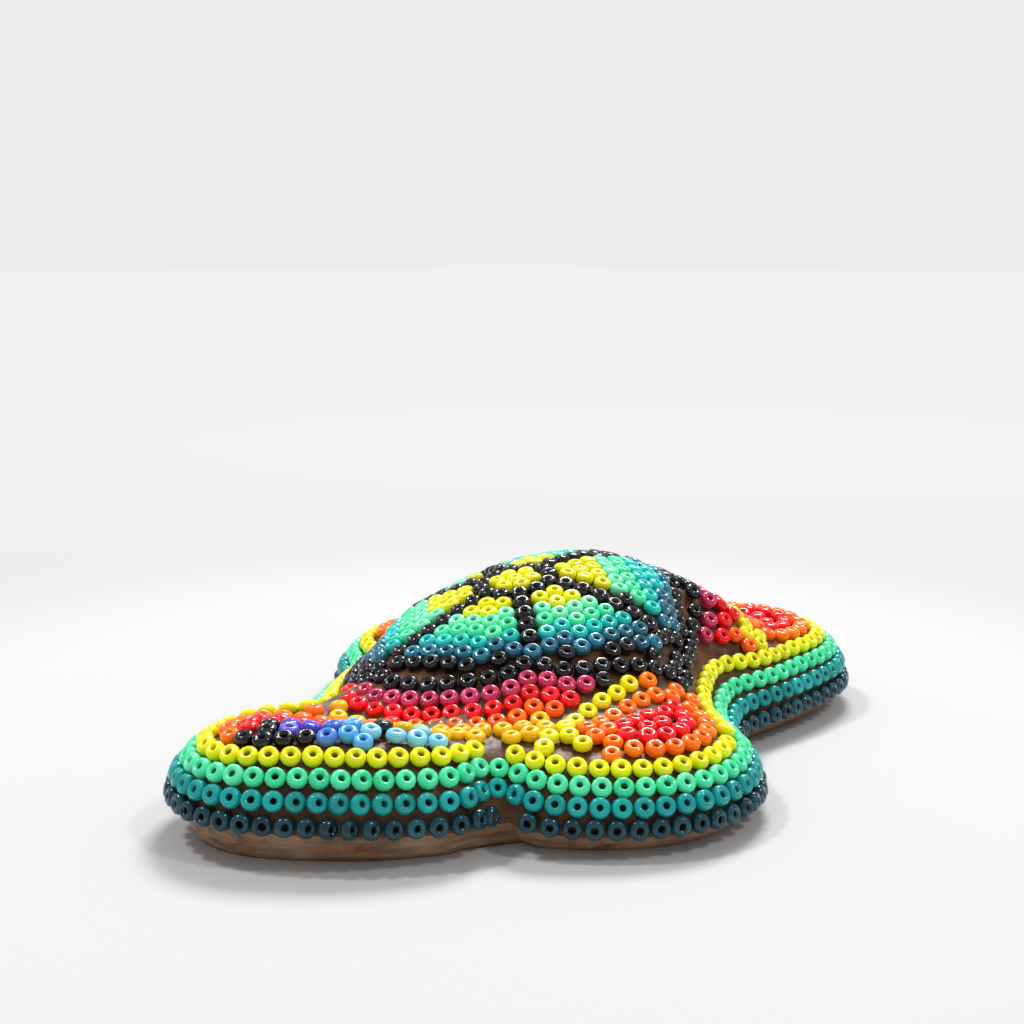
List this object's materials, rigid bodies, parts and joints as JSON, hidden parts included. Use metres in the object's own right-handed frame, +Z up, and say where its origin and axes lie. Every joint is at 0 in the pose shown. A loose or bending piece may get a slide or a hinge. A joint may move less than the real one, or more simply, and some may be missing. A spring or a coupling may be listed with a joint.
{
  "type": "huichol beaded figure",
  "caption": "Beaded turtle figure: a carved wooden turtle coated in beeswax and covered with rows of glass seed beads, a domed patterned shell, head and four broad flippers.",
  "frame": {"origin": "on the flat underside, below the middle of the shell", "axes": "+Z up, head towards -Y, the turtle's left side towards +X"},
  "size_m": [0.0725, 0.0979, 0.0221],
  "materials": {
    "carved_wood": "bare carved softwood with knife marks, waxy sheen",
    "beeswax": "amber beeswax, satin",
    "black_glass": "opaque black glass with a steely lustre",
    "lemon_yellow_glass": "opaque glossy glass",
    "golden_yellow_glass": "opaque glossy glass",
    "pale_mint_glass": "opaque glossy glass",
    "mint_glass": "opaque glossy glass",
    "turquoise_glass": "opaque glossy glass",
    "teal_glass": "opaque glossy glass",
    "petrol_blue_lustre_glass": "opaque glass with a pearly lustre",
    "dark_petrol_lustre_glass": "opaque glass with a metallic lustre",
    "magenta_lustre_glass": "opaque glass with a pearly lustre",
    "red_glass": "opaque glossy glass",
    "deep_orange_glass": "opaque glossy glass",
    "orange_glass": "opaque glossy glass",
    "violet_glass": "opaque glossy glass",
    "royal_blue_glass": "opaque glossy glass",
    "sky_blue_glass": "opaque glossy glass",
    "pale_blue_glass": "opaque glossy glass"
  },
  "bodies": {
    "root": {"wood_core": "carved_wood", "beeswax_coat": "beeswax", "shell_outline_beads": "black_glass", "shell_spoke_beads": "black_glass", "shell_centre_yellow_beads": "lemon_yellow_glass", "shell_yellow_beads": "lemon_yellow_glass", "shell_pale_mint_beads": "pale_mint_glass", "shell_mint_beads": "mint_glass", "shell_teal_beads": "turquoise_glass", "shell_petrol_beads": "petrol_blue_lustre_glass", "skirt_magenta_beads": "magenta_lustre_glass", "skirt_red_beads": "red_glass", "skirt_orange_beads": "deep_orange_glass", "skirt_gold_beads": "golden_yellow_glass", "rim_petrol_left_beads": "dark_petrol_lustre_glass", "rim_petrol_right_beads": "dark_petrol_lustre_glass", "rim_teal_left_beads": "teal_glass", "rim_teal_right_beads": "teal_glass", "rim_mint_left_beads": "mint_glass", "rim_mint_right_beads": "mint_glass", "rim_yellow_left_beads": "lemon_yellow_glass", "rim_yellow_right_beads": "lemon_yellow_glass", "head_orange_beads": "orange_glass", "head_red_beads": "red_glass", "head_black_beads": "black_glass", "head_violet_beads": "violet_glass", "head_blue_beads": "royal_blue_glass", "head_sky_beads": "sky_blue_glass", "head_pale_blue_beads": "pale_blue_glass", "flipper_line_yellow_beads": "lemon_yellow_glass", "left_front_orange_beads": "orange_glass", "left_front_red_beads": "red_glass", "left_rear_orange_beads": "orange_glass", "left_rear_red_beads": "red_glass", "right_rear_orange_beads": "orange_glass", "right_rear_red_beads": "red_glass", "right_front_orange_beads": "orange_glass", "right_front_red_beads": "red_glass"}
  },
  "joints": []
}
